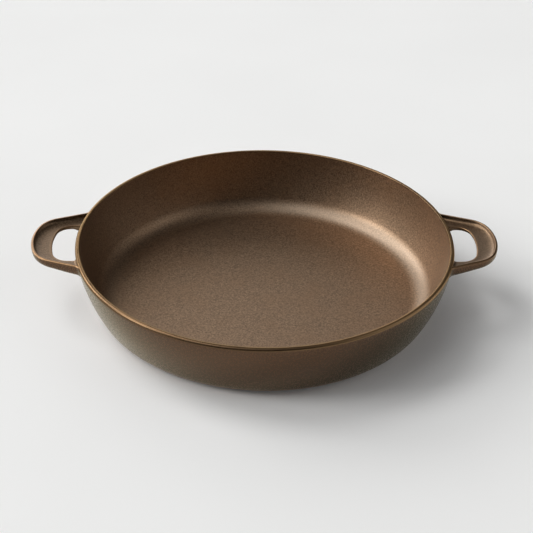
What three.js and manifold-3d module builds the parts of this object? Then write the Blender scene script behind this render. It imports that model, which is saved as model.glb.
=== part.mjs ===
// Double handle skillet: a round flared pan of cast iron with a finger loop cast onto each side.
// Millimetres, +Z up. The origin is the centre of the flat underside and the loops lie along X.

import * as THREE from 'three';
import { mergeVertices } from 'three/addons/utils/BufferGeometryUtils.js';
import Module from 'manifold-3d';

const wasm = await Module();
wasm.setup();

// Driving dimensions of the pan
const RIM_RADIUS = 177.8;
const PAN_HEIGHT = 64.7;
const BASE_RADIUS = 143;
const FLOOR_THICKNESS = 5;
const WALL_THICKNESS = 4.4;
const OUTER_CORNER_RADIUS = 21;
const OUTER_CORNER_SWEEP = 63;
const INNER_CORNER_RADIUS = 22;
const RIM_OUTER_ROUND = 3;
const RIM_INNER_ROUND = 1.2;
const RIM_BAND_HEIGHT = 7;

// Driving dimensions of a handle, seen from above
const TIP_REACH = 219.5;
const TIP_RADIUS = 66;
const TIP_HALF_SWEEP = 20.2;
const SHOULDER_RADIUS = 27;
const ARM_TAPER = 20.2;
const ROOT_REACH = 160;
const HOLE_REACH = 199.8;
const HOLE_END_RADIUS = 80;
const HOLE_CORNER_RADIUS = 15.3;
const HOLE_HALF_WIDTH = 30.8;

// Driving dimensions of a handle's section, whose crest lies a little below the rim
const HANDLE_DROP = 1.1;
const HANDLE_DEPTH_AT_RIM = 11.2;
const HANDLE_DEPTH_AT_TIP = 7.6;
const HANDLE_EDGE_ROUND = 1;
const BORDER_WIDTH = 2.5;
const RECESS_DEPTH = 4.7;
const RECESS_COVE = 2;
const HANDLE_GAP = 0.3;

// Facet counts
const ROUND_SEGMENTS = 96;
const CORNER_STEPS = 5;
const WALL_STEPS = 6;
const ROUND_STEPS = 4;
const CURVE_STEPS = 8;
const EDGE_STEPS = 2;
const COVE_STEPS = 3;

// Iron with a thin baked-on oil coat
const IRON_COLOUR = '#6f5945';
const RIM_COLOUR = '#8a6f58';

const radians = THREE.MathUtils.degToRad;

function pointAt(center, radius, angle) {
  return new THREE.Vector2(center.x + radius * Math.cos(angle), center.y + radius * Math.sin(angle));
}

// Points along an arc with both of its ends
function arcPoints(center, radius, fromAngle, toAngle, steps) {
  const points = [];
  for (let step = 0; step <= steps; step += 1) {
    const angle = fromAngle + ((toAngle - fromAngle) * step) / steps;
    points.push(pointAt(center, radius, angle));
  }
  return points;
}

// The pan's half section, with the radius as x and the height as y:
// a round corner, a long wall arc tangent to it, and a rim that is rounded more outside than inside
const seamHeight = PAN_HEIGHT - RIM_BAND_HEIGHT;
const cornerStart = -Math.PI / 2;
const cornerEnd = cornerStart + radians(OUTER_CORNER_SWEEP);
const outerCornerCenter = new THREE.Vector2(BASE_RADIUS, OUTER_CORNER_RADIUS);
const wallFoot = pointAt(outerCornerCenter, OUTER_CORNER_RADIUS, cornerEnd);
const rimEdge = new THREE.Vector2(RIM_RADIUS, PAN_HEIGHT - RIM_OUTER_ROUND);

const footNormal = new THREE.Vector2(Math.cos(cornerEnd), Math.sin(cornerEnd));
const footToRim = rimEdge.clone().sub(wallFoot);
const outerWallRadius = -footToRim.lengthSq() / (2 * footToRim.dot(footNormal));
const wallCenter = wallFoot.clone().addScaledVector(footNormal, -outerWallRadius);
const innerWallRadius = outerWallRadius - WALL_THICKNESS;

// The inner corner touches both the floor and the inside of the wall
const innerCornerHeight = FLOOR_THICKNESS + INNER_CORNER_RADIUS;
const innerCenterDrop = wallCenter.y - innerCornerHeight;
const innerCenterReach = Math.sqrt((innerWallRadius - INNER_CORNER_RADIUS) ** 2 - innerCenterDrop ** 2);
const innerCornerCenter = new THREE.Vector2(wallCenter.x + innerCenterReach, innerCornerHeight);
const innerCornerEnd = Math.atan2(-innerCenterDrop, innerCenterReach);
const floorRadius = innerCornerCenter.x;

function wallAngle(radius, height) {
  return Math.asin((height - wallCenter.y) / radius);
}

function wallArc(radius, fromHeight, toHeight, steps) {
  return arcPoints(wallCenter, radius, wallAngle(radius, fromHeight), wallAngle(radius, toHeight), steps);
}

function outerCorner() {
  return arcPoints(outerCornerCenter, OUTER_CORNER_RADIUS, cornerStart, cornerEnd, CORNER_STEPS);
}

function baseProfile() {
  return [
    new THREE.Vector2(0, 0),
    new THREE.Vector2(floorRadius, 0),
    new THREE.Vector2(floorRadius, FLOOR_THICKNESS),
    new THREE.Vector2(0, FLOOR_THICKNESS),
  ];
}

function cornerProfile() {
  return [
    new THREE.Vector2(floorRadius, 0),
    ...outerCorner(),
    ...arcPoints(innerCornerCenter, INNER_CORNER_RADIUS, innerCornerEnd, cornerStart, CORNER_STEPS),
    new THREE.Vector2(floorRadius, 0),
  ];
}

function wallProfile() {
  const innerFoot = pointAt(innerCornerCenter, INNER_CORNER_RADIUS, innerCornerEnd);
  return [
    ...wallArc(outerWallRadius, wallFoot.y, seamHeight, WALL_STEPS),
    ...wallArc(innerWallRadius, seamHeight, innerFoot.y, WALL_STEPS),
    wallFoot,
  ];
}

function rimProfile() {
  const outerSeam = pointAt(wallCenter, outerWallRadius, wallAngle(outerWallRadius, seamHeight));
  const innerSeam = pointAt(wallCenter, innerWallRadius, wallAngle(innerWallRadius, seamHeight));
  const lipHeight = PAN_HEIGHT - RIM_INNER_ROUND;
  const lip = pointAt(wallCenter, innerWallRadius, wallAngle(innerWallRadius, lipHeight));
  const outerRound = new THREE.Vector2(RIM_RADIUS - RIM_OUTER_ROUND, rimEdge.y);
  const innerRound = new THREE.Vector2(lip.x + RIM_INNER_ROUND, lipHeight);
  return [
    outerSeam,
    ...arcPoints(outerRound, RIM_OUTER_ROUND, 0, Math.PI / 2, ROUND_STEPS),
    ...arcPoints(innerRound, RIM_INNER_ROUND, Math.PI / 2, Math.PI, ROUND_STEPS),
    innerSeam,
    outerSeam,
  ];
}

// The space that the pan fills, a little oversize, which the handles are fitted against
function panEnvelopeProfile() {
  const side = [
    ...outerCorner(),
    ...wallArc(outerWallRadius, wallFoot.y, rimEdge.y, WALL_STEPS).slice(1),
    new THREE.Vector2(RIM_RADIUS, PAN_HEIGHT + RIM_BAND_HEIGHT),
  ];
  const fitted = side.map((point) => new THREE.Vector2(point.x + HANDLE_GAP, point.y));
  return [
    new THREE.Vector2(0, 0),
    ...fitted,
    new THREE.Vector2(0, PAN_HEIGHT + RIM_BAND_HEIGHT),
  ];
}

// A ring or disc turned about the upright axis
function turned(profile) {
  const geometry = new THREE.LatheGeometry(profile, ROUND_SEGMENTS);
  geometry.rotateX(Math.PI / 2);
  return geometry;
}

// Only positions count for joining and cutting, so the rest is dropped and shared corners are merged
function toSolid(geometry) {
  const bare = geometry.clone();
  bare.deleteAttribute('normal');
  bare.deleteAttribute('uv');
  const merged = mergeVertices(bare);
  const mesh = new wasm.Mesh({
    numProp: 3,
    vertProperties: new Float32Array(merged.attributes.position.array),
    triVerts: new Uint32Array(merged.index.array),
  });
  return new wasm.Manifold(mesh);
}

function toGeometry(solid) {
  const mesh = solid.getMesh();
  const geometry = new THREE.BufferGeometry();
  geometry.setAttribute('position', new THREE.BufferAttribute(new Float32Array(mesh.vertProperties), 3));
  geometry.setIndex(new THREE.BufferAttribute(new Uint32Array(mesh.triVerts), 1));
  geometry.computeVertexNormals();
  return geometry;
}

// Outline of a handle from above: straight tapered arms, round shoulders and a gently bowed tip,
// all drawn in by the inset
function handleOutline(inset) {
  const tipTurn = radians(TIP_HALF_SWEEP);
  const armTurn = radians(90 - ARM_TAPER);
  const tipCenter = new THREE.Vector2(TIP_REACH - TIP_RADIUS, 0);
  const shoulder = pointAt(tipCenter, TIP_RADIUS - SHOULDER_RADIUS, tipTurn);
  const armEnd = pointAt(shoulder, SHOULDER_RADIUS - inset, armTurn);
  const rootHalfWidth = armEnd.y + (armEnd.x - ROOT_REACH) * Math.tan(radians(ARM_TAPER));

  const outline = new THREE.Shape();
  outline.moveTo(ROOT_REACH, -rootHalfWidth);
  outline.lineTo(armEnd.x, -armEnd.y);
  outline.absarc(shoulder.x, -shoulder.y, SHOULDER_RADIUS - inset, -armTurn, -tipTurn);
  outline.absarc(tipCenter.x, tipCenter.y, TIP_RADIUS - inset, -tipTurn, tipTurn);
  outline.absarc(shoulder.x, shoulder.y, SHOULDER_RADIUS - inset, tipTurn, armTurn);
  outline.lineTo(ROOT_REACH, rootHalfWidth);
  outline.closePath();
  return outline;
}

// Outline of the finger hole, which runs back to the pan's wall
function holeOutline() {
  const endCenter = HOLE_REACH - HOLE_END_RADIUS;
  const cornerOffset = HOLE_HALF_WIDTH - HOLE_CORNER_RADIUS;
  const endTurn = Math.asin(cornerOffset / (HOLE_END_RADIUS - HOLE_CORNER_RADIUS));
  const cornerReach = endCenter + (HOLE_END_RADIUS - HOLE_CORNER_RADIUS) * Math.cos(endTurn);
  const backReach = ROOT_REACH - 2 * HANDLE_EDGE_ROUND;

  const outline = new THREE.Shape();
  outline.moveTo(backReach, -HOLE_HALF_WIDTH);
  outline.lineTo(cornerReach, -HOLE_HALF_WIDTH);
  outline.absarc(cornerReach, -cornerOffset, HOLE_CORNER_RADIUS, -Math.PI / 2, -endTurn);
  outline.absarc(endCenter, 0, HOLE_END_RADIUS, -endTurn, endTurn);
  outline.absarc(cornerReach, cornerOffset, HOLE_CORNER_RADIUS, endTurn, Math.PI / 2);
  outline.lineTo(backReach, HOLE_HALF_WIDTH);
  outline.closePath();
  return outline;
}

// An upright slab between two heights, rounded along the edges of both faces
function roundedSlab(outline, low, high, round, roundSteps) {
  const slab = new THREE.ExtrudeGeometry(outline, {
    depth: high - low - 2 * round,
    curveSegments: CURVE_STEPS,
    bevelThickness: round,
    bevelSize: round,
    bevelOffset: -round,
    bevelSegments: roundSteps,
  });
  slab.translate(0, 0, low + round);
  return slab;
}

const handleTop = PAN_HEIGHT - HANDLE_DROP;

// The underside rises towards the tip while the top stays level
function thinTowardsTip(geometry) {
  const position = geometry.attributes.position;
  for (let index = 0; index < position.count; index += 1) {
    const reach = THREE.MathUtils.inverseLerp(RIM_RADIUS, TIP_REACH, position.getX(index));
    const depth = THREE.MathUtils.lerp(HANDLE_DEPTH_AT_RIM, HANDLE_DEPTH_AT_TIP, reach);
    const drop = handleTop - position.getZ(index);
    position.setZ(index, handleTop - (drop * depth) / HANDLE_DEPTH_AT_RIM);
  }
}

function handleGeometry() {
  const underside = handleTop - HANDLE_DEPTH_AT_RIM;
  const aboveRim = PAN_HEIGHT + RIM_BAND_HEIGHT;
  const loop = roundedSlab(handleOutline(0), underside, handleTop, HANDLE_EDGE_ROUND, EDGE_STEPS);
  thinTowardsTip(loop);

  const hole = new THREE.ExtrudeGeometry(holeOutline(), {
    depth: aboveRim - underside + RIM_BAND_HEIGHT,
    curveSegments: CURVE_STEPS,
    bevelEnabled: false,
  });
  hole.translate(0, 0, underside - RIM_BAND_HEIGHT);

  const recessFloor = handleTop - RECESS_DEPTH;
  const recess = roundedSlab(handleOutline(BORDER_WIDTH), recessFloor, aboveRim, RECESS_COVE, COVE_STEPS);

  const dished = toSolid(loop).subtract(toSolid(recess)).subtract(toSolid(hole));
  return toGeometry(dished.subtract(toSolid(turned(panEnvelopeProfile()))));
}

function ironMaterial(color, roughness) {
  return new THREE.MeshStandardMaterial({ color, roughness, metalness: 0.85 });
}

function namedMesh(name, geometry, material) {
  const mesh = new THREE.Mesh(geometry, material);
  mesh.name = name;
  return mesh;
}

const iron = ironMaterial(IRON_COLOUR, 0.5);
const rimIron = ironMaterial(RIM_COLOUR, 0.42);

const pan = new THREE.Group();
pan.add(namedMesh('pan_base', turned(baseProfile()), iron));
pan.add(namedMesh('bottom_corner', turned(cornerProfile()), iron));
pan.add(namedMesh('side_wall', turned(wallProfile()), iron));
pan.add(namedMesh('rim_band', turned(rimProfile()), rimIron));

const handle = handleGeometry();
const rightHandle = namedMesh('right_handle', handle, iron);
const leftHandle = namedMesh('left_handle', handle.clone(), iron);
leftHandle.rotation.z = Math.PI;

const skillet = new THREE.Group();
skillet.add(pan, rightHandle, leftHandle);

export default skillet;
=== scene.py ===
"""Double handle skillet: the finished pan and its two finger loops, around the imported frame."""

import logging
import math
from dataclasses import dataclass
from enum import Enum
from typing import Any, Optional

import bmesh
import bpy
from mathutils import Matrix, Vector


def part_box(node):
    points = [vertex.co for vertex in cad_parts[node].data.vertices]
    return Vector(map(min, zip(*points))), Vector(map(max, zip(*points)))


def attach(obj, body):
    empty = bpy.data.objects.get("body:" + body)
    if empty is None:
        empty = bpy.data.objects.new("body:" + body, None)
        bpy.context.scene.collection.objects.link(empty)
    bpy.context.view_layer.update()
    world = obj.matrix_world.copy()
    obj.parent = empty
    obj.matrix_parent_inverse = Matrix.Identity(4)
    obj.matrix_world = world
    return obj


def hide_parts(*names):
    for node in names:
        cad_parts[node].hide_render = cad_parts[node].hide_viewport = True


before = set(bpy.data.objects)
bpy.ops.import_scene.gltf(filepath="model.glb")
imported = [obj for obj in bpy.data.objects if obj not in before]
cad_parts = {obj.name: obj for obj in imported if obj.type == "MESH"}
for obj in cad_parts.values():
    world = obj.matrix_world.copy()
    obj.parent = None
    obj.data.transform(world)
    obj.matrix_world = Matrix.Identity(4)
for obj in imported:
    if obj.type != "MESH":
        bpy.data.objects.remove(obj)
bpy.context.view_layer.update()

LOG = logging.getLogger("skillet")
MM = 0.001
WELD_DISTANCE = 1e-7
BODY = "root"
WEAR_AND_GLINT = "edge_wear_and_painted_glint"
FILM_AND_SHEEN = "oil_film_and_painted_sheen"
SECTION_INDEX = "section_index"

Plan = tuple[float, float]


class Side(Enum):
    """The side of the pan that a handle is on, as the sign of its X."""

    LEFT = -1
    RIGHT = 1


class Zone(Enum):
    """What a point of a handle's section is measured from."""

    OUTER = "outer"
    HOLE = "hole"
    MIDDLE = "middle"


def linear_colour(hex_colour: str, alpha: float = 1.0) -> tuple[float, float, float, float]:
    """Turn an sRGB hex colour into linear values.

    Args:
        hex_colour: Six hex digits after a hash.
        alpha: Opacity of the result.

    Returns:
        Linear red, green and blue, with the alpha.
    """
    channels = [int(hex_colour[start:start + 2], 16) / 255 for start in (1, 3, 5)]
    linear = [c / 12.92 if c <= 0.04045 else ((c + 0.055) / 1.055) ** 2.4 for c in channels]
    return (linear[0], linear[1], linear[2], alpha)


def add_node(tree: bpy.types.NodeTree, kind: str, settings: Optional[dict[str, Any]] = None,
             inputs: Optional[dict[Any, Any]] = None) -> bpy.types.Node:
    """Add a node with its settings, values and links.

    Args:
        tree: The node tree that gets the node.
        kind: The node's type name.
        settings: The node's own properties by name.
        inputs: Values or output sockets to link, by the name or number of the input.

    Returns:
        The new node.
    """
    node = tree.nodes.new(kind)
    for name, value in (settings or {}).items():
        setattr(node, name, value)
    for key, value in (inputs or {}).items():
        if isinstance(value, bpy.types.NodeSocket):
            tree.links.new(value, node.inputs[key])
        else:
            node.inputs[key].default_value = value
    return node


def deselect_everything() -> None:
    """Leave object mode with nothing selected, so that the next operator acts on its own piece only."""
    if bpy.context.object and bpy.context.object.mode != "OBJECT":
        bpy.ops.object.mode_set(mode="OBJECT")
    bpy.ops.object.select_all(action="DESELECT")


def smooth_ramp(value: float) -> float:
    """Ease a value from 0 to 1 with level ends."""
    clamped = min(1.0, max(0.0, value))
    return clamped * clamped * (3 - 2 * clamped)


def nearness(bearing: float, centre: float, gain: float, offset: float) -> float:
    """How near a bearing in radians is to a centre in degrees: a stretched cosine, eased to 0 and 1."""
    return smooth_ramp(math.cos(bearing - math.radians(centre)) * gain - offset)


@dataclass(frozen=True)
class SeasonedIron:
    """Cast iron under a thin bronze-brown coat of baked oil.

    The sand mould leaves a fine even grain, and the coat gives a satin metallic sheen with faint red
    drifts. Handled edges rub through to a lighter copper tone, and the same copper is painted on as
    glints where edges catch the light. In the cove a paler tone under a clearer coat is painted sheen
    for the broad pale highlight there. Real sand grain is about 0.3 mm, too fine to show in the render,
    so the grain is drawn about five times as coarse.
    """

    name: str
    dark: str = "#735f4d"
    light: str = "#ab8f74"
    reddish: str = "#95775c"
    worn_and_glint_copper: str = "#a98462"
    edge_tint: str = "#ffffff"
    grain_mm: float = 1.4
    speck_mm: float = 3.2
    speck_share: float = 0.8
    drift_mm: float = 30.0
    drift_share: float = 0.35
    grain_height_mm: float = 0.02
    roughness_low: float = 0.4
    roughness_high: float = 0.5
    worn_and_glint_roughness: float = 0.34
    coat: float = 0.0
    coat_roughness: float = 0.3
    # The cove's painted sheen: a clearer coat and a paler tone mixed into the colour.
    film_and_sheen_coat: float = 0.0
    painted_sheen_tone: str = "#817565"
    painted_sheen_share: float = 0.4

    def build(self) -> bpy.types.Material:
        """Make the material's nodes, or find the ones made for an earlier piece.

        Returns:
            The finished material.
        """
        if self.name in bpy.data.materials:
            return bpy.data.materials[self.name]
        material = bpy.data.materials.new(self.name)
        material.use_nodes = True
        tree = material.node_tree
        tree.nodes.clear()
        place = add_node(tree, "ShaderNodeTexCoord").outputs["Object"]

        def noise(size_mm: float, detail: float, roughness: float) -> bpy.types.NodeSocket:
            """Noise with blobs of a real size, in millimetres."""
            return add_node(tree, "ShaderNodeTexNoise", inputs={
                "Vector": place, "Scale": 1 / (size_mm * MM), "Detail": detail, "Roughness": roughness,
            }).outputs["Fac"]

        def spread(source: bpy.types.NodeSocket, low: float, high: float, to_low: float,
                   to_high: float) -> bpy.types.NodeSocket:
            """Stretch a value from one range to another."""
            return add_node(tree, "ShaderNodeMapRange", inputs={
                "Value": source, "From Min": low, "From Max": high, "To Min": to_low, "To Max": to_high,
            }).outputs["Result"]

        def mix_colour(share: Any, first: Any, second: Any) -> bpy.types.NodeSocket:
            """Mix two colours."""
            return add_node(tree, "ShaderNodeMix", {"data_type": "RGBA"}, {
                0: share, 6: first, 7: second,
            }).outputs[2]

        grain = noise(self.grain_mm, 3.0, 0.6)
        specks = noise(self.speck_mm, 2.0, 0.5)
        drift = noise(self.drift_mm, 3.0, 0.5)
        # Copper marks real edge wear, and is also painted on as glints where edges catch the light.
        worn_and_glint = add_node(tree, "ShaderNodeAttribute", {"attribute_name": WEAR_AND_GLINT}).outputs["Fac"]

        light_share = spread(grain, 0.32, 0.68, 0.0, 1.0)
        coat = mix_colour(light_share, linear_colour(self.dark), linear_colour(self.light))
        red_share = spread(drift, 0.45, 0.75, 0.0, self.drift_share)
        drifting = mix_colour(red_share, coat, linear_colour(self.reddish))
        colour = mix_colour(worn_and_glint, drifting, linear_colour(self.worn_and_glint_copper))

        grain_roughness = spread(grain, 0.3, 0.7, self.roughness_low, self.roughness_high)
        roughness = add_node(tree, "ShaderNodeMix", {"data_type": "FLOAT"}, {
            0: worn_and_glint, 2: grain_roughness, 3: self.worn_and_glint_roughness,
        }).outputs[0]

        height = add_node(tree, "ShaderNodeMath", {"operation": "MULTIPLY_ADD"}, {
            0: specks, 1: self.speck_share, 2: grain,
        }).outputs[0]
        relief = add_node(tree, "ShaderNodeBump", inputs={
            "Strength": 1.0, "Distance": self.grain_height_mm * MM, "Height": height,
        }).outputs["Normal"]

        coat_weight: Any = self.coat
        # In the cove, a paler tone mixed into the colour is painted sheen for the highlight there,
        # under a clearer coat.
        if self.film_and_sheen_coat:
            film_and_sheen = add_node(tree, "ShaderNodeAttribute", {"attribute_name": FILM_AND_SHEEN}).outputs["Fac"]
            coat_weight = spread(film_and_sheen, 0.0, 1.0, self.coat, self.film_and_sheen_coat)
            sheen_share = spread(film_and_sheen, 0.0, 1.0, 0.0, self.painted_sheen_share)
            colour = mix_colour(sheen_share, colour, linear_colour(self.painted_sheen_tone))
        shader = add_node(tree, "ShaderNodeBsdfPrincipled", inputs={
            "Base Color": colour, "Metallic": 1.0, "Roughness": roughness, "Normal": relief,
            "Specular Tint": linear_colour(self.edge_tint), "Coat Weight": coat_weight,
            "Coat Roughness": self.coat_roughness, "Coat Normal": relief,
        })
        add_node(tree, "ShaderNodeOutputMaterial", inputs={"Surface": shader.outputs["BSDF"]})
        return material


@dataclass(frozen=True)
class PaleStone:
    """Honed pale stone of the studio floor: matt and even, slightly lifted, with faint wide drifts."""

    name: str = "honed_pale_stone"
    colour: str = "#f1f1f0"
    cloud: str = "#e9e9e8"
    cloud_mm: float = 260.0
    roughness: float = 0.75
    specular_level: float = 0.2
    lift: float = 0.05

    def build(self) -> bpy.types.Material:
        """Make the material's nodes.

        Returns:
            The finished material.
        """
        material = bpy.data.materials.new(self.name)
        material.use_nodes = True
        tree = material.node_tree
        tree.nodes.clear()
        place = add_node(tree, "ShaderNodeTexCoord").outputs["Object"]
        cloud = add_node(tree, "ShaderNodeTexNoise", inputs={
            "Vector": place, "Scale": 1 / (self.cloud_mm * MM), "Detail": 2.0,
        }).outputs["Fac"]
        colour = add_node(tree, "ShaderNodeMix", {"data_type": "RGBA"}, {
            0: cloud, 6: linear_colour(self.colour), 7: linear_colour(self.cloud),
        }).outputs[2]
        ray = add_node(tree, "ShaderNodeLightPath").outputs
        seen = add_node(tree, "ShaderNodeMath", {"operation": "MAXIMUM"}, {
            0: ray["Is Camera Ray"], 1: ray["Is Glossy Ray"],
        }).outputs[0]
        shown = add_node(tree, "ShaderNodeMath", {"operation": "MAXIMUM"}, {
            0: seen, 1: ray["Is Transmission Ray"],
        }).outputs[0]
        lifted = add_node(tree, "ShaderNodeMath", {"operation": "MULTIPLY"}, {
            0: shown, 1: self.lift,
        }).outputs[0]
        shader = add_node(tree, "ShaderNodeBsdfPrincipled", inputs={
            "Base Color": colour, "Roughness": self.roughness,
            "Specular IOR Level": self.specular_level,
            "Emission Color": linear_colour("#ffffff"), "Emission Strength": lifted,
        })
        add_node(tree, "ShaderNodeOutputMaterial", inputs={"Surface": shader.outputs["BSDF"]})
        return material


@dataclass
class Pan:
    """The round pan: flat base, round corner, flared wall and rounded rim, turned as one smooth skin.

    Lengths are in millimetres. Angles are in degrees, and a place round the rim is a bearing from +Y
    towards +X.
    """

    outside_finish: SeasonedIron
    inside_finish: SeasonedIron
    rim_finish: SeasonedIron
    rim_radius: float
    height: float
    base_radius: float = 143.0
    floor_thickness: float = 5.0
    wall_thickness: float = 4.4
    outer_corner_radius: float = 21.0
    outer_corner_sweep: float = 63.0
    inner_corner_radius: float = 22.0
    rim_outer_round: float = 2.7
    rim_inner_round: float = 1.2
    # Copper on the lip and crown is partly wear and partly a painted glint: it is left off the lip
    # round the right and is strongest on the crown at the front right, after how the rim catches light.
    lip_wear_and_glint: float = 0.65
    lip_wear_and_glint_rise: float = 0.5
    lip_spared_at: float = 80.0
    lip_spared_reach: float = 20.0
    lip_spared_fade: float = 50.0
    crown_wear: float = 0.15
    crown_wear_rise: float = 40.0
    crown_wear_fall: float = 15.0
    front_wear_and_glint: float = 0.6
    front_wear_and_glint_at: float = 125.0
    # Where the cove gets its painted sheen, a paler tone under a clearer coat, thickest on the right
    # where the highlight falls.
    film_and_sheen_foot: float = 8.0
    film_and_sheen_rise: float = 20.0
    film_and_sheen_top: float = 63.0
    film_and_sheen_fade: float = 22.0
    film_and_sheen_thickest_at: float = 60.0
    cove_tolerance: float = 0.5
    segments: int = 256

    def __post_init__(self) -> None:
        """Work out the wall's arcs: one touches the corner and ends at the rim, one runs inside it."""
        turn = math.radians(self.outer_corner_sweep - 90)
        normal = Vector((math.cos(turn), math.sin(turn)))
        self.corner_end = turn
        self.corner_center = Vector((self.base_radius, self.outer_corner_radius))
        foot = self.corner_center + normal * self.outer_corner_radius
        rim_edge = Vector((self.rim_radius, self.height - self.rim_outer_round))
        to_rim = rim_edge - foot
        self.outer_wall_radius = -to_rim.length_squared / (2 * to_rim.dot(normal))
        self.wall_center = foot - normal * self.outer_wall_radius
        self.inner_wall_radius = self.outer_wall_radius - self.wall_thickness
        self.foot_height = foot.y

        cove_height = self.floor_thickness + self.inner_corner_radius
        drop = self.wall_center.y - cove_height
        reach = math.sqrt((self.inner_wall_radius - self.inner_corner_radius) ** 2 - drop ** 2)
        self.cove_center = Vector((self.wall_center.x + reach, cove_height))
        self.cove_end = math.atan2(-drop, reach)

    def wall_angle(self, radius: float, height: float) -> float:
        """Angle about the wall's centre at which a wall arc reaches a height."""
        return math.asin((height - self.wall_center.y) / radius)

    def outer_radius_at(self, height: float) -> float:
        """Radius of the pan's outside at a height.

        Args:
            height: Height above the underside, in millimetres.

        Returns:
            The radius, in millimetres.
        """
        round_center = self.height - self.rim_outer_round
        if height > round_center:
            rise = min(self.rim_outer_round, height - round_center)
            bulge = math.sqrt(self.rim_outer_round ** 2 - rise ** 2)
            return self.rim_radius - self.rim_outer_round + bulge
        angle = self.wall_angle(self.outer_wall_radius, height)
        return self.wall_center.x + self.outer_wall_radius * math.cos(angle)

    def profile(self) -> list[Plan]:
        """Half section of the pan, from the underside round the outside and rim to the cooking floor.

        Returns:
            Points as radius and height, in millimetres.
        """
        quarter = math.pi / 2
        lip_height = self.height - self.rim_inner_round
        lip_angle = self.wall_angle(self.inner_wall_radius, lip_height)
        lip_radius = self.wall_center.x + self.inner_wall_radius * math.cos(lip_angle)
        crown_height = self.height - self.rim_outer_round
        outer_round = Vector((self.rim_radius - self.rim_outer_round, crown_height))
        inner_round = Vector((lip_radius + self.rim_inner_round, lip_height))

        def arc(center: Vector, radius: float, start: float, end: float, steps: int) -> list[Plan]:
            """Points along an arc after its first one."""
            angles = [start + (end - start) * step / steps for step in range(1, steps + 1)]
            return [(center.x + radius * math.cos(a), center.y + radius * math.sin(a)) for a in angles]

        outer_wall = self.outer_wall_radius
        inner_wall = self.inner_wall_radius
        crown_angle = self.wall_angle(outer_wall, crown_height)
        points = [(self.base_radius * share, 0.0) for share in (0.5, 0.96, 1.0)]
        points += arc(self.corner_center, self.outer_corner_radius, -quarter, self.corner_end, 14)
        points += arc(self.wall_center, outer_wall, self.corner_end, crown_angle, 16)
        points += arc(outer_round, self.rim_outer_round, 0.0, quarter, 9)
        points += arc(inner_round, self.rim_inner_round, quarter, 2 * quarter, 7)
        points += arc(self.wall_center, inner_wall, lip_angle, self.cove_end, 16)
        points += arc(self.cove_center, self.inner_corner_radius, self.cove_end, -quarter, 16)
        floor_radius = self.cove_center.x
        points += [(floor_radius * share, self.floor_thickness) for share in (0.97, 0.75, 0.5, 0.25)]
        return points

    def build(self) -> bpy.types.Object:
        """Turn the pan by drawing a ring out along its section.

        Returns:
            The pan's object.
        """
        points = self.profile()
        deselect_everything()
        first_radius, first_height = points[0]
        bpy.ops.mesh.primitive_circle_add(vertices=self.segments, radius=first_radius * MM,
                                          fill_type="NGON", location=(0, 0, first_height * MM))
        pan = bpy.context.object
        pan.name = "pan_body"
        bpy.ops.object.transform_apply(location=True, rotation=True, scale=True)
        bpy.ops.object.mode_set(mode="EDIT")
        bpy.ops.mesh.select_mode(type="EDGE")
        bpy.ops.mesh.select_all(action="SELECT")
        bpy.ops.mesh.region_to_loop()
        for (radius, height), (next_radius, next_height) in zip(points, points[1:]):
            bpy.ops.mesh.extrude_region_move(
                TRANSFORM_OT_translate={"value": (0, 0, (next_height - height) * MM)})
            share = next_radius / radius
            bpy.ops.transform.resize(value=(share, share, 1), center_override=(0, 0, next_height * MM))
        bpy.ops.mesh.edge_face_add()
        bpy.ops.mesh.select_all(action="SELECT")
        bpy.ops.mesh.remove_doubles(threshold=WELD_DISTANCE)
        bpy.ops.mesh.normals_make_consistent(inside=False)
        bpy.ops.object.mode_set(mode="OBJECT")
        bpy.ops.object.shade_smooth()
        self.mark_wear_and_glint(pan)
        self.pool_film_and_paint_sheen(pan)
        pan.data.materials.append(self.outside_finish.build())
        pan.data.materials.append(self.inside_finish.build())
        pan.data.materials.append(self.rim_finish.build())
        self.dress(pan)
        return pan

    def dress(self, pan: bpy.types.Object) -> None:
        """Give the cooking side its own coarser finish and the rim its smoothed one.

        Args:
            pan: The pan's object.
        """
        lip_height = self.height - self.rim_inner_round
        for face in pan.data.polygons:
            middle = face.center / MM
            outer = self.outer_radius_at(max(middle.z, self.foot_height))
            inside = self.floor_thickness * 0.5 < middle.z < lip_height
            on_floor = face.normal.z > 0.5
            on_wall = math.hypot(middle.x, middle.y) < outer - self.wall_thickness * 0.5
            if inside and (on_floor or on_wall):
                face.material_index = 1
            elif middle.z > self.height - self.rim_outer_round:
                face.material_index = 2

    def mark_wear_and_glint(self, pan: bpy.types.Object) -> None:
        """Write where each point gets copper, as wear and as a painted glint where the rim catches
        light:
        most of the lip, and the crown most at the front right.

        Args:
            pan: The pan's object.
        """
        top = self.height - self.rim_outer_round
        lip = self.height - self.rim_inner_round
        crown = self.rim_radius - self.rim_outer_round
        wear_and_glint = []
        for vertex in pan.data.vertices:
            out = math.hypot(vertex.co.x, vertex.co.y) / MM - crown
            up = vertex.co.z / MM - top
            tilt = math.degrees(math.atan2(out, up)) if up > 0 else 90.0
            bearing = math.atan2(vertex.co.x, vertex.co.y)
            at_front = nearness(bearing, self.front_wear_and_glint_at, gain=1.5, offset=0.5)
            away = math.degrees(math.acos(math.cos(bearing - math.radians(self.lip_spared_at))))
            # The lip's painted copper glint is left off round the right, where the lip catches little
            # light.
            rubbed = smooth_ramp((away - self.lip_spared_reach) / self.lip_spared_fade)
            on_lip = self.lip_wear_and_glint * rubbed * smooth_ramp((vertex.co.z / MM - lip) / self.lip_wear_and_glint_rise)
            all_round = self.crown_wear * smooth_ramp(tilt / self.crown_wear_rise)
            crown_edge = smooth_ramp((90 - tilt) / self.crown_wear_fall)
            on_crown = (all_round + self.front_wear_and_glint * at_front) * crown_edge
            wear_and_glint.append(on_lip if tilt < 0 else on_crown)
        pan.data.attributes.new(WEAR_AND_GLINT, "FLOAT", "POINT").data.foreach_set("value", wear_and_glint)

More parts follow.
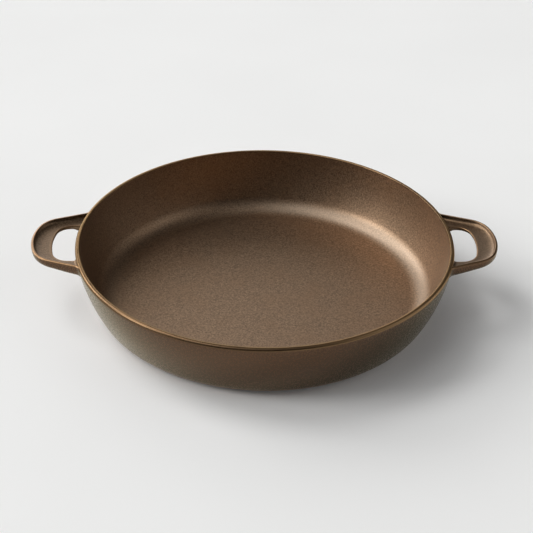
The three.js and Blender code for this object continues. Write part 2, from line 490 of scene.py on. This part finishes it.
    def pool_film_and_paint_sheen(self, pan: bpy.types.Object) -> None:
        """Write where the painted sheen goes, a paler tone under a clearer coat: along the cove, most
        on the right, where the highlight falls.

        Args:
            pan: The pan's object.
        """
        film_and_sheen = []
        for vertex in pan.data.vertices:
            across = math.hypot(vertex.co.x, vertex.co.y) / MM - self.cove_center.x
            below = self.cove_center.y - vertex.co.z / MM
            off_cove = abs(math.hypot(across, below) - self.inner_corner_radius)
            tilt = math.degrees(math.atan2(across, below))
            rising = smooth_ramp((tilt - self.film_and_sheen_foot) / self.film_and_sheen_rise)
            falling = smooth_ramp((self.film_and_sheen_top - tilt) / self.film_and_sheen_fade)
            bearing = math.atan2(vertex.co.x, vertex.co.y)
            thick = nearness(bearing, self.film_and_sheen_thickest_at, gain=1.6, offset=0.2)
            film_and_sheen.append(rising * falling * thick if off_cove < self.cove_tolerance else 0.0)
        pan.data.attributes.new(FILM_AND_SHEEN, "FLOAT", "POINT").data.foreach_set("value", film_and_sheen)


@dataclass
class Station:
    """One cross section of a handle: its outer edge and the hole's edge, seen from above."""

    outer: Plan
    outer_inward: Plan
    hole: Plan
    hole_outward: Plan
    gap: Optional[float] = None

    def mirrored(self) -> "Station":
        """The same section on the other side of the X axis.

        Returns:
            The mirrored section.
        """
        plans = (self.outer, self.outer_inward, self.hole, self.hole_outward)
        flipped = [(plan[0], -plan[1]) for plan in plans]
        return Station(*flipped, self.gap)


@dataclass
class LoopHandle:
    """A finger loop on the pan's rim: a raised border round a dished web with a finger hole.

    Lengths are in millimetres and angles in degrees.
    """

    side: Side
    pan: Pan
    finish: SeasonedIron
    side_finish: SeasonedIron
    tip_reach: float
    tip_radius: float = 66.0
    tip_half_sweep: float = 20.2
    shoulder_radius: float = 27.0
    arm_taper: float = 20.2
    hole_reach: float = 199.8
    hole_end_radius: float = 80.0
    hole_corner_radius: float = 15.3
    hole_half_width: float = 30.8
    depth_at_rim: float = 11.2
    depth_at_tip: float = 7.6
    border_width: float = 2.8
    recess_depth: float = 4.7
    cove_at_rim: float = 1.8
    cove_at_tip: float = 5.6
    crest_drop: float = 1.1
    fillet: float = 2.6
    fillet_share: float = 0.98
    outer_flare_inset: float = 1.12
    hole_flare_inset: float = 0.4
    web_tolerance: float = 0.3
    sink_start: float = 1.0
    sink_reach: float = 3.0
    rim_margin: float = 0.2
    smooth_levels: int = 2
    tip_steps: int = 5
    shoulder_steps: int = 8
    arm_steps: int = 3
    root_gaps: tuple[float, ...] = (3.6, 2.2, 1.2, 0.5, 0.05, -2.0)
    side_points: tuple[int, ...] = (17, 18, 19, 0, 1, 2, 3)

    def __post_init__(self) -> None:
        """Work out where the arcs of both outlines, seen from above, meet."""
        self.tip_turn = math.radians(self.tip_half_sweep)
        self.arm_turn = math.radians(90 - self.arm_taper)
        self.tip_center = Vector((self.tip_reach - self.tip_radius, 0.0))
        inner = self.tip_radius - self.shoulder_radius
        shoulder_out = Vector((math.cos(self.tip_turn), math.sin(self.tip_turn)))
        self.shoulder = self.tip_center + inner * shoulder_out
        self.corner_offset = self.hole_half_width - self.hole_corner_radius
        self.end_center = self.hole_reach - self.hole_end_radius
        span = self.hole_end_radius - self.hole_corner_radius
        self.end_turn = math.asin(self.corner_offset / span)
        self.corner_reach = self.end_center + span * math.cos(self.end_turn)

    def tip_station(self, share: float) -> Station:
        """Section on the bowed tip.

        Args:
            share: Place along it, from its middle at 0 to the shoulder at 1.

        Returns:
            The section.
        """
        outer_angle = self.tip_turn * share
        hole_angle = self.end_turn * share
        outer_out = Vector((math.cos(outer_angle), math.sin(outer_angle)))
        hole_out = Vector((math.cos(hole_angle), math.sin(hole_angle)))
        outer = self.tip_center + outer_out * self.tip_radius
        hole = Vector((self.end_center, 0.0)) + hole_out * self.hole_end_radius
        return Station(tuple(outer), tuple(-outer_out), tuple(hole), tuple(hole_out))

    def shoulder_station(self, share: float) -> Station:
        """Section on a round shoulder.

        Args:
            share: Place along it, from the tip at 0 to the arm at 1.

        Returns:
            The section.
        """
        outer_angle = self.tip_turn + (self.arm_turn - self.tip_turn) * share
        hole_angle = self.end_turn + (math.pi / 2 - self.end_turn) * share
        outer_out = Vector((math.cos(outer_angle), math.sin(outer_angle)))
        hole_out = Vector((math.cos(hole_angle), math.sin(hole_angle)))
        outer = self.shoulder + outer_out * self.shoulder_radius
        hole = Vector((self.corner_reach, self.corner_offset)) + hole_out * self.hole_corner_radius
        return Station(tuple(outer), tuple(-outer_out), tuple(hole), tuple(hole_out))

    def arm_station(self, gap: float) -> Station:
        """Section on an arm whose edges are a given distance off the pan's wall.

        Args:
            gap: Distance from the wall, in millimetres.

        Returns:
            The section.
        """
        end = self.shoulder_station(1.0)
        radius = self.pan.rim_radius + gap
        along = Vector((-math.sin(self.arm_turn), math.cos(self.arm_turn)))
        start = Vector(end.outer)
        ahead = start.dot(along)
        half_chord = math.sqrt(ahead ** 2 - start.length_squared + radius ** 2)
        travel = -ahead - half_chord
        if travel < 0:
            travel = -ahead + half_chord
        outer = start + along * travel
        hole = (math.sqrt(radius ** 2 - self.hole_half_width ** 2), self.hole_half_width)
        return Station(tuple(outer), end.outer_inward, hole, end.hole_outward, gap)

    def half_loop(self) -> list[Station]:
        """Sections from the middle of the tip to inside the pan's wall, on the side of positive Y.

        Returns:
            The sections in order.
        """
        stations = [self.tip_station(step / self.tip_steps) for step in range(self.tip_steps)]
        round_steps = self.shoulder_steps
        stations += [self.shoulder_station(step / round_steps) for step in range(round_steps)]
        end = self.shoulder_station(1.0)
        first = self.arm_station(self.root_gaps[0])
        for step in range(self.arm_steps):
            share = step / self.arm_steps
            outer = Vector(end.outer).lerp(Vector(first.outer), share)
            hole = Vector(end.hole).lerp(Vector(first.hole), share)
            stations.append(Station(tuple(outer), end.outer_inward, tuple(hole), end.hole_outward))
        stations += [self.arm_station(gap) for gap in self.root_gaps]
        return stations

    def loop(self) -> list[Station]:
        """Sections all round the loop, from one root to the other.

        Returns:
            The sections in order.
        """
        half = self.half_loop()
        other = [station.mirrored() for station in half[1:]]
        return other[::-1] + half

    def section(self, depth: float, cove: float) -> list[tuple[Zone, float, float]]:
        """Points round a section: what each is measured from, how far in, and how far below the crest.

        Args:
            depth: Height of the section, in millimetres.
            cove: Reach of the hollow curve between the border and the web, in millimetres.

        Returns:
            The points in order, starting under the outer edge.
        """
        border = self.border_width
        dish = self.recess_depth
        return [
            (Zone.OUTER, 0.9, depth - 1.5),
            (Zone.OUTER, 0.1, depth * 0.55),
            (Zone.OUTER, 0.0, 2.2),
            (Zone.OUTER, 0.1, 0.9),
            (Zone.OUTER, 0.5, 0.3),
            (Zone.OUTER, border * 0.74, -0.12),
            (Zone.OUTER, border - 0.22, 0.08),
            (Zone.OUTER, border + 0.05, 0.75),
            (Zone.OUTER, border + cove * 0.1, dish * 0.43),
            (Zone.OUTER, border + cove * 0.25, dish * 0.7),
            (Zone.OUTER, border + cove, dish - 0.08),
            (Zone.HOLE, 2.4, dish),
            (Zone.HOLE, 0.9, dish - 0.05),
            (Zone.HOLE, 0.2, dish + 0.15),
            (Zone.HOLE, 0.0, dish + 0.9),
            (Zone.HOLE, 0.0, depth - 1.6),
            (Zone.HOLE, 0.5, depth - 0.5),
            (Zone.HOLE, 2.2, depth),
            (Zone.MIDDLE, 0.0, depth + 0.1),
            (Zone.OUTER, 3.0, depth - 0.2),
        ]

    def place(self, station: Station, zone: Zone, inset: float, drop: float) -> Vector:
        """Where a point of a section lies, in millimetres.

        Args:
            station: The section.
            zone: What the point is measured from.
            inset: How far in from there.
            drop: How far below the border's crest.

        Returns:
            The point.
        """
        outer = Vector(station.outer)
        hole = Vector(station.hole)
        flare = 0.0
        if station.gap is not None and station.gap < self.fillet:
            reach = self.fillet - max(station.gap, 0.0)
            reach = min(reach, self.fillet * self.fillet_share)
            flare = self.fillet - math.sqrt(self.fillet ** 2 - reach ** 2)
        if zone is Zone.OUTER:
            flared = flare if inset < self.outer_flare_inset else 0.0
            plan = outer + Vector(station.outer_inward) * (inset - flared)
        elif zone is Zone.HOLE:
            flared = flare if inset < self.hole_flare_inset else 0.0
            plan = hole + Vector(station.hole_outward) * (inset - flared)
        else:
            plan = (outer + hole) / 2
        height = self.pan.height - self.crest_drop - drop
        if station.gap is not None:
            below_web = drop - self.recess_depth
            sunk = smooth_ramp((below_web - self.sink_start) / self.sink_reach)
            height += flare if abs(below_web) < self.web_tolerance else -flare * sunk
            wall_height = min(height, self.pan.height - self.rim_margin)
            radius = self.pan.outer_radius_at(wall_height) + station.gap
            plan.x = math.sqrt(radius ** 2 - plan.y ** 2)
        return Vector((plan.x, plan.y, height))

    def ring(self, station: Station) -> list[Vector]:
        """A section's points in the frame, in metres.

        Args:
            station: The section.

        Returns:
            The points in order round the section.
        """
        share = (station.outer[0] - self.pan.rim_radius) / (self.tip_reach - self.pan.rim_radius)
        share = min(1.0, max(0.0, share))
        depth = self.depth_at_rim + (self.depth_at_tip - self.depth_at_rim) * share
        cove = self.cove_at_rim + (self.cove_at_tip - self.cove_at_rim) * smooth_ramp(share)
        points = [self.place(station, *point) for point in self.section(depth, cove)]
        turn = self.side.value
        return [Vector((p.x * turn, p.y * turn, p.z)) * MM for p in points]

    def build(self) -> bpy.types.Object:
        """Draw a section round the loop and smooth the skin.

        Returns:
            The handle's object.
        """
        rings = [self.ring(station) for station in self.loop()]
        count = len(rings[0])
        deselect_everything()
        bpy.ops.mesh.primitive_circle_add(vertices=count, radius=self.depth_at_rim * MM,
                                          fill_type="NGON")
        handle = bpy.context.object
        handle.name = f"{self.side.name.lower()}_loop_handle"
        bpy.ops.object.transform_apply(location=True, rotation=True, scale=True)
        bpy.ops.object.mode_set(mode="EDIT")
        bpy.ops.mesh.select_mode(type="EDGE")
        bpy.ops.mesh.select_all(action="SELECT")
        mesh = bmesh.from_edit_mesh(handle.data)
        order = mesh.verts.layers.int.new(SECTION_INDEX)
        for index, vertex in enumerate(mesh.verts):
            vertex[order] = index
            vertex.co = rings[0][index]
        bmesh.update_edit_mesh(handle.data)
        bpy.ops.mesh.region_to_loop()
        for ring in rings[1:]:
            bpy.ops.mesh.extrude_region_move()
            mesh = bmesh.from_edit_mesh(handle.data)
            order = mesh.verts.layers.int[SECTION_INDEX]
            for vertex in mesh.verts:
                if vertex.select:
                    vertex.co = ring[vertex[order]]
            bmesh.update_edit_mesh(handle.data)
        bpy.ops.mesh.edge_face_add()
        bpy.ops.mesh.select_all(action="SELECT")
        bpy.ops.mesh.normals_make_consistent(inside=False)
        bpy.ops.object.mode_set(mode="OBJECT")
        handle.data.materials.append(self.finish.build())
        handle.data.materials.append(self.side_finish.build())
        self.dress(handle)
        self.mark_wear_and_glint(handle)
        smooth = handle.modifiers.new("smooth", "SUBSURF")
        smooth.levels = self.smooth_levels
        smooth.render_levels = self.smooth_levels
        bpy.ops.object.modifier_apply(modifier=smooth.name)
        bpy.ops.object.shade_smooth()
        return handle

    def dress(self, handle: bpy.types.Object) -> None:
        """Give the outer face and the underside the smoother finish of the pan's outside.

        Args:
            handle: The handle's object.
        """
        order = handle.data.attributes[SECTION_INDEX].data
        for face in handle.data.polygons:
            if all(order[corner].value in self.side_points for corner in face.vertices):
                face.material_index = 1

    def mark_wear_and_glint(self, handle: bpy.types.Object) -> None:
        """Write where each point gets copper, as wear and as a painted glint where edges catch the
        light:
        most along the border's crest and the hole's upper edge.

        Args:
            handle: The handle's object.
        """
        # Points of the section by number: 3 to 6 lie on the border, 12 and 13 on the hole's edge.
        # Copper here is partly wear and partly a painted glint where the crest and the hole's edge
        # catch light.
        worn_and_glint = {3: 0.2, 4: 0.6, 5: 0.6, 6: 0.4, 12: 0.4, 13: 0.6}
        order = handle.data.attributes[SECTION_INDEX].data
        values = [worn_and_glint.get(entry.value, 0.0) for entry in order]
        attribute = handle.data.attributes.new(WEAR_AND_GLINT, "FLOAT", "POINT")
        attribute.data.foreach_set("value", values)


def compass(azimuth: float, elevation: float) -> Vector:
    """Direction from the pan.

    Args:
        azimuth: Angle from +Y towards +X, in degrees.
        elevation: Angle above the floor, in degrees.

    Returns:
        The direction, of unit length.
    """
    turn = math.radians(azimuth)
    rise = math.radians(elevation)
    return Vector((math.sin(turn) * math.cos(rise), math.cos(turn) * math.cos(rise), math.sin(rise)))


@dataclass(frozen=True)
class RoomGlow:
    """A wide soft glow of the studio's walls, brightest in its middle and fading evenly around it."""

    azimuth: float
    elevation: float
    spread: float
    radiance: float

    def add_to(self, tree: bpy.types.NodeTree, direction: bpy.types.NodeSocket,
               total: Any) -> bpy.types.NodeSocket:
        """Add the glow to the room's light.

        Args:
            tree: The world's node tree.
            direction: The direction that is looked up.
            total: The light so far, as a value or a socket.

        Returns:
            The light with the glow.
        """
        fall = 1 / (1 - math.cos(math.radians(self.spread)))
        facing = add_node(tree, "ShaderNodeVectorMath", {"operation": "DOT_PRODUCT"}, {
            0: direction, 1: compass(self.azimuth, self.elevation),
        }).outputs["Value"]
        depth = add_node(tree, "ShaderNodeMath", {"operation": "MULTIPLY_ADD"}, {
            0: facing, 1: fall, 2: -fall,
        }).outputs[0]
        shape = add_node(tree, "ShaderNodeMath", {"operation": "EXPONENT"}, {0: depth}).outputs[0]
        return add_node(tree, "ShaderNodeMath", {"operation": "MULTIPLY_ADD"}, {
            0: shape, 1: self.radiance, 2: total,
        }).outputs[0]


@dataclass(frozen=True)
class SoftLamp:
    """A round soft lamp that faces the pan, placed and sized as the pan sees it."""

    name: str
    azimuth: float
    elevation: float
    half_angle: float
    radiance: float
    distance: float = 40.0

    def hang(self, target: Vector) -> bpy.types.Object:
        """Hang the lamp.

        Args:
            target: The point that it faces.

        Returns:
            The lamp's object.
        """
        radius = self.distance * math.tan(math.radians(self.half_angle))
        lamp = bpy.data.lights.new(self.name, "AREA")
        lamp.shape = "DISK"
        lamp.size = 2 * radius
        lamp.energy = self.radiance * math.pi * math.pi * radius ** 2
        away = compass(self.azimuth, self.elevation)
        lamp_object = bpy.data.objects.new(self.name, lamp)
        bpy.context.scene.collection.objects.link(lamp_object)
        lamp_object.visible_camera = False
        lamp_object.location = target + away * self.distance
        lamp_object.rotation_euler = (-away).to_track_quat("-Z", "Y").to_euler()
        return lamp_object


@dataclass
class Studio:
    """The pale floor, the soft lamps, the dim room and the camera."""

    floor_finish: PaleStone
    lamps: tuple[SoftLamp, ...]
    glows: tuple[RoomGlow, ...]
    floor_size: float = 9.0
    lamp_aim_height: float = 0.03
    room_colour: str = "#ffffff"
    room_strength: float = 0.01
    sensor_mm: float = 36.0
    lens_mm: float = 94.56
    camera_distance: float = 1.39625
    camera_elevation: float = 32.771
    camera_azimuth: float = 1.2
    camera_roll: float = 0.77
    camera_target_mm: tuple[float, float, float] = (2.883, 51.144, 0.0)

    def build(self) -> None:
        """Set up the whole studio."""
        self.lay_floor()
        for lamp in self.lamps:
            lamp.hang(Vector((0, 0, self.lamp_aim_height)))
        self.dim_room()
        self.set_camera()
        bpy.context.scene.view_settings.view_transform = "Standard"

    def lay_floor(self) -> None:
        """Lay the floor that the pan stands on."""
        deselect_everything()
        bpy.ops.mesh.primitive_plane_add(size=self.floor_size, location=(0, 0, 0))
        floor = bpy.context.object
        floor.name = "studio_floor"
        floor.data.materials.append(self.floor_finish.build())

    def dim_room(self) -> None:
        """Fill the room with a little even light and its wide glows."""
        world = bpy.data.worlds.new("dim_room")
        world.use_nodes = True
        tree = world.node_tree
        tree.nodes.clear()
        direction = add_node(tree, "ShaderNodeTexCoord").outputs["Generated"]
        total: Any = self.room_strength
        for glow in self.glows:
            total = glow.add_to(tree, direction, total)
        background = add_node(tree, "ShaderNodeBackground", inputs={
            "Color": linear_colour(self.room_colour), "Strength": total,
        })
        add_node(tree, "ShaderNodeOutputWorld", inputs={"Surface": background.outputs["Background"]})
        bpy.context.scene.world = world

    def set_camera(self) -> None:
        """Stand the camera in front of the pan, looking down into it."""
        rise = math.radians(self.camera_elevation)
        turn = math.radians(self.camera_azimuth)
        roll = math.radians(self.camera_roll)
        level_back = Vector((-math.sin(turn), -math.cos(turn), 0.0))
        back = level_back * math.cos(rise) + Vector((0.0, 0.0, math.sin(rise)))
        level_right = Vector((math.cos(turn), -math.sin(turn), 0.0))
        level_up = back.cross(level_right)
        right = math.cos(roll) * level_right + math.sin(roll) * level_up
        up = math.cos(roll) * level_up - math.sin(roll) * level_right
        eye = Vector(self.camera_target_mm) * MM + back * self.camera_distance
        lens = bpy.data.cameras.new("front_camera")
        lens.sensor_width = self.sensor_mm
        lens.lens = self.lens_mm
        camera = bpy.data.objects.new("front_camera", lens)
        bpy.context.scene.collection.objects.link(camera)
        axes = Matrix((right, up, back)).transposed().to_4x4()
        camera.matrix_world = Matrix.Translation(eye) @ axes
        bpy.context.scene.camera = camera


def settle(piece: bpy.types.Object, slot: str, *nodes: str) -> None:
    """Fix a finished piece to the pan's body in place of its CAD nodes.

    Args:
        piece: The finished piece.
        slot: The record's material slot. Not used.
        nodes: The CAD nodes that it stands for.
    """
    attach(piece, BODY)
    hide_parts(*nodes)
    LOG.info("%s: %d faces, stands for %s", piece.name, len(piece.data.polygons), ", ".join(nodes))


def main() -> None:
    """Build the skillet and its studio."""
    logging.basicConfig(level=logging.INFO, format="%(name)s %(message)s")
    rim_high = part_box("rim_band")[1] / MM
    tip_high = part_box("right_handle")[1] / MM
    # The outside is the darkest and smoothest, and its clear coat mirrors the pale floor.
    outside = SeasonedIron(
        "seasoned_cast_iron_outside", dark="#543b24", light="#583d25", reddish="#5c3c22",
        edge_tint="#fffde8", grain_height_mm=0.001, roughness_low=0.25, roughness_high=0.29, coat=0.5)
    # The rim is smooth too, with a thin bright line where it is new and a dull copper one that is
    # partly wear, partly painted glint.
    rim = SeasonedIron(
        "seasoned_cast_iron_rim", dark="#503d2b", light="#614b36", reddish="#5c442e", worn_and_glint_copper="#a3835f",
        edge_tint="#f6e4c6", grain_height_mm=0.003, roughness_low=0.24, roughness_high=0.3,
        worn_and_glint_roughness=0.45, coat=0.15)
    # The cooking side is the lightest and coarsest, and a painted sheen in its cove, a paler tone under
    # a clearer coat, makes a broad pale gleam.
    inside = SeasonedIron("seasoned_cast_iron_cooking_side", film_and_sheen_coat=0.6, coat_roughness=0.42)
    # The handles are satin as cast, with lighter copper edges on the border and round the hole, partly
    # wear and partly painted glint.
    handle_iron = SeasonedIron(
        "seasoned_cast_iron_handle", dark="#5a4938", light="#8d755d", reddish="#755b45",
        worn_and_glint_copper="#9a7755", grain_height_mm=0.015, roughness_low=0.38, roughness_high=0.48,
        worn_and_glint_roughness=0.28)

    pan = Pan(outside, inside, rim, rim_radius=rim_high.y, height=rim_high.z)
    settle(pan.build(), "pan_iron", "pan_base", "bottom_corner", "side_wall", "rim_band")
    for side in Side:
        handle = LoopHandle(side, pan, handle_iron, outside, tip_reach=tip_high.x)
        settle(handle.build(), "handle_iron", f"{side.name.lower()}_handle")

    lamps = (
        SoftLamp("window", azimuth=-59.0, elevation=23.0, half_angle=14.0, radiance=6.1),
        SoftLamp("left_lamp", azimuth=-97.0, elevation=28.7, half_angle=11.0, radiance=9.5),
        SoftLamp("upper_lamp", azimuth=-56.3, elevation=53.0, half_angle=13.5, radiance=4.4),
    )
    glows = (
        RoomGlow(azimuth=-107.8, elevation=61.2, spread=19.7, radiance=2.34),
        RoomGlow(azimuth=-17.9, elevation=4.8, spread=25.4, radiance=3.8),
        RoomGlow(azimuth=98.0, elevation=39.0, spread=19.0, radiance=0.95),
        RoomGlow(azimuth=76.5, elevation=2.0, spread=12.7, radiance=2.13),
    )
    Studio(PaleStone(), lamps, glows).build()


if __name__ == "__main__":
    main()
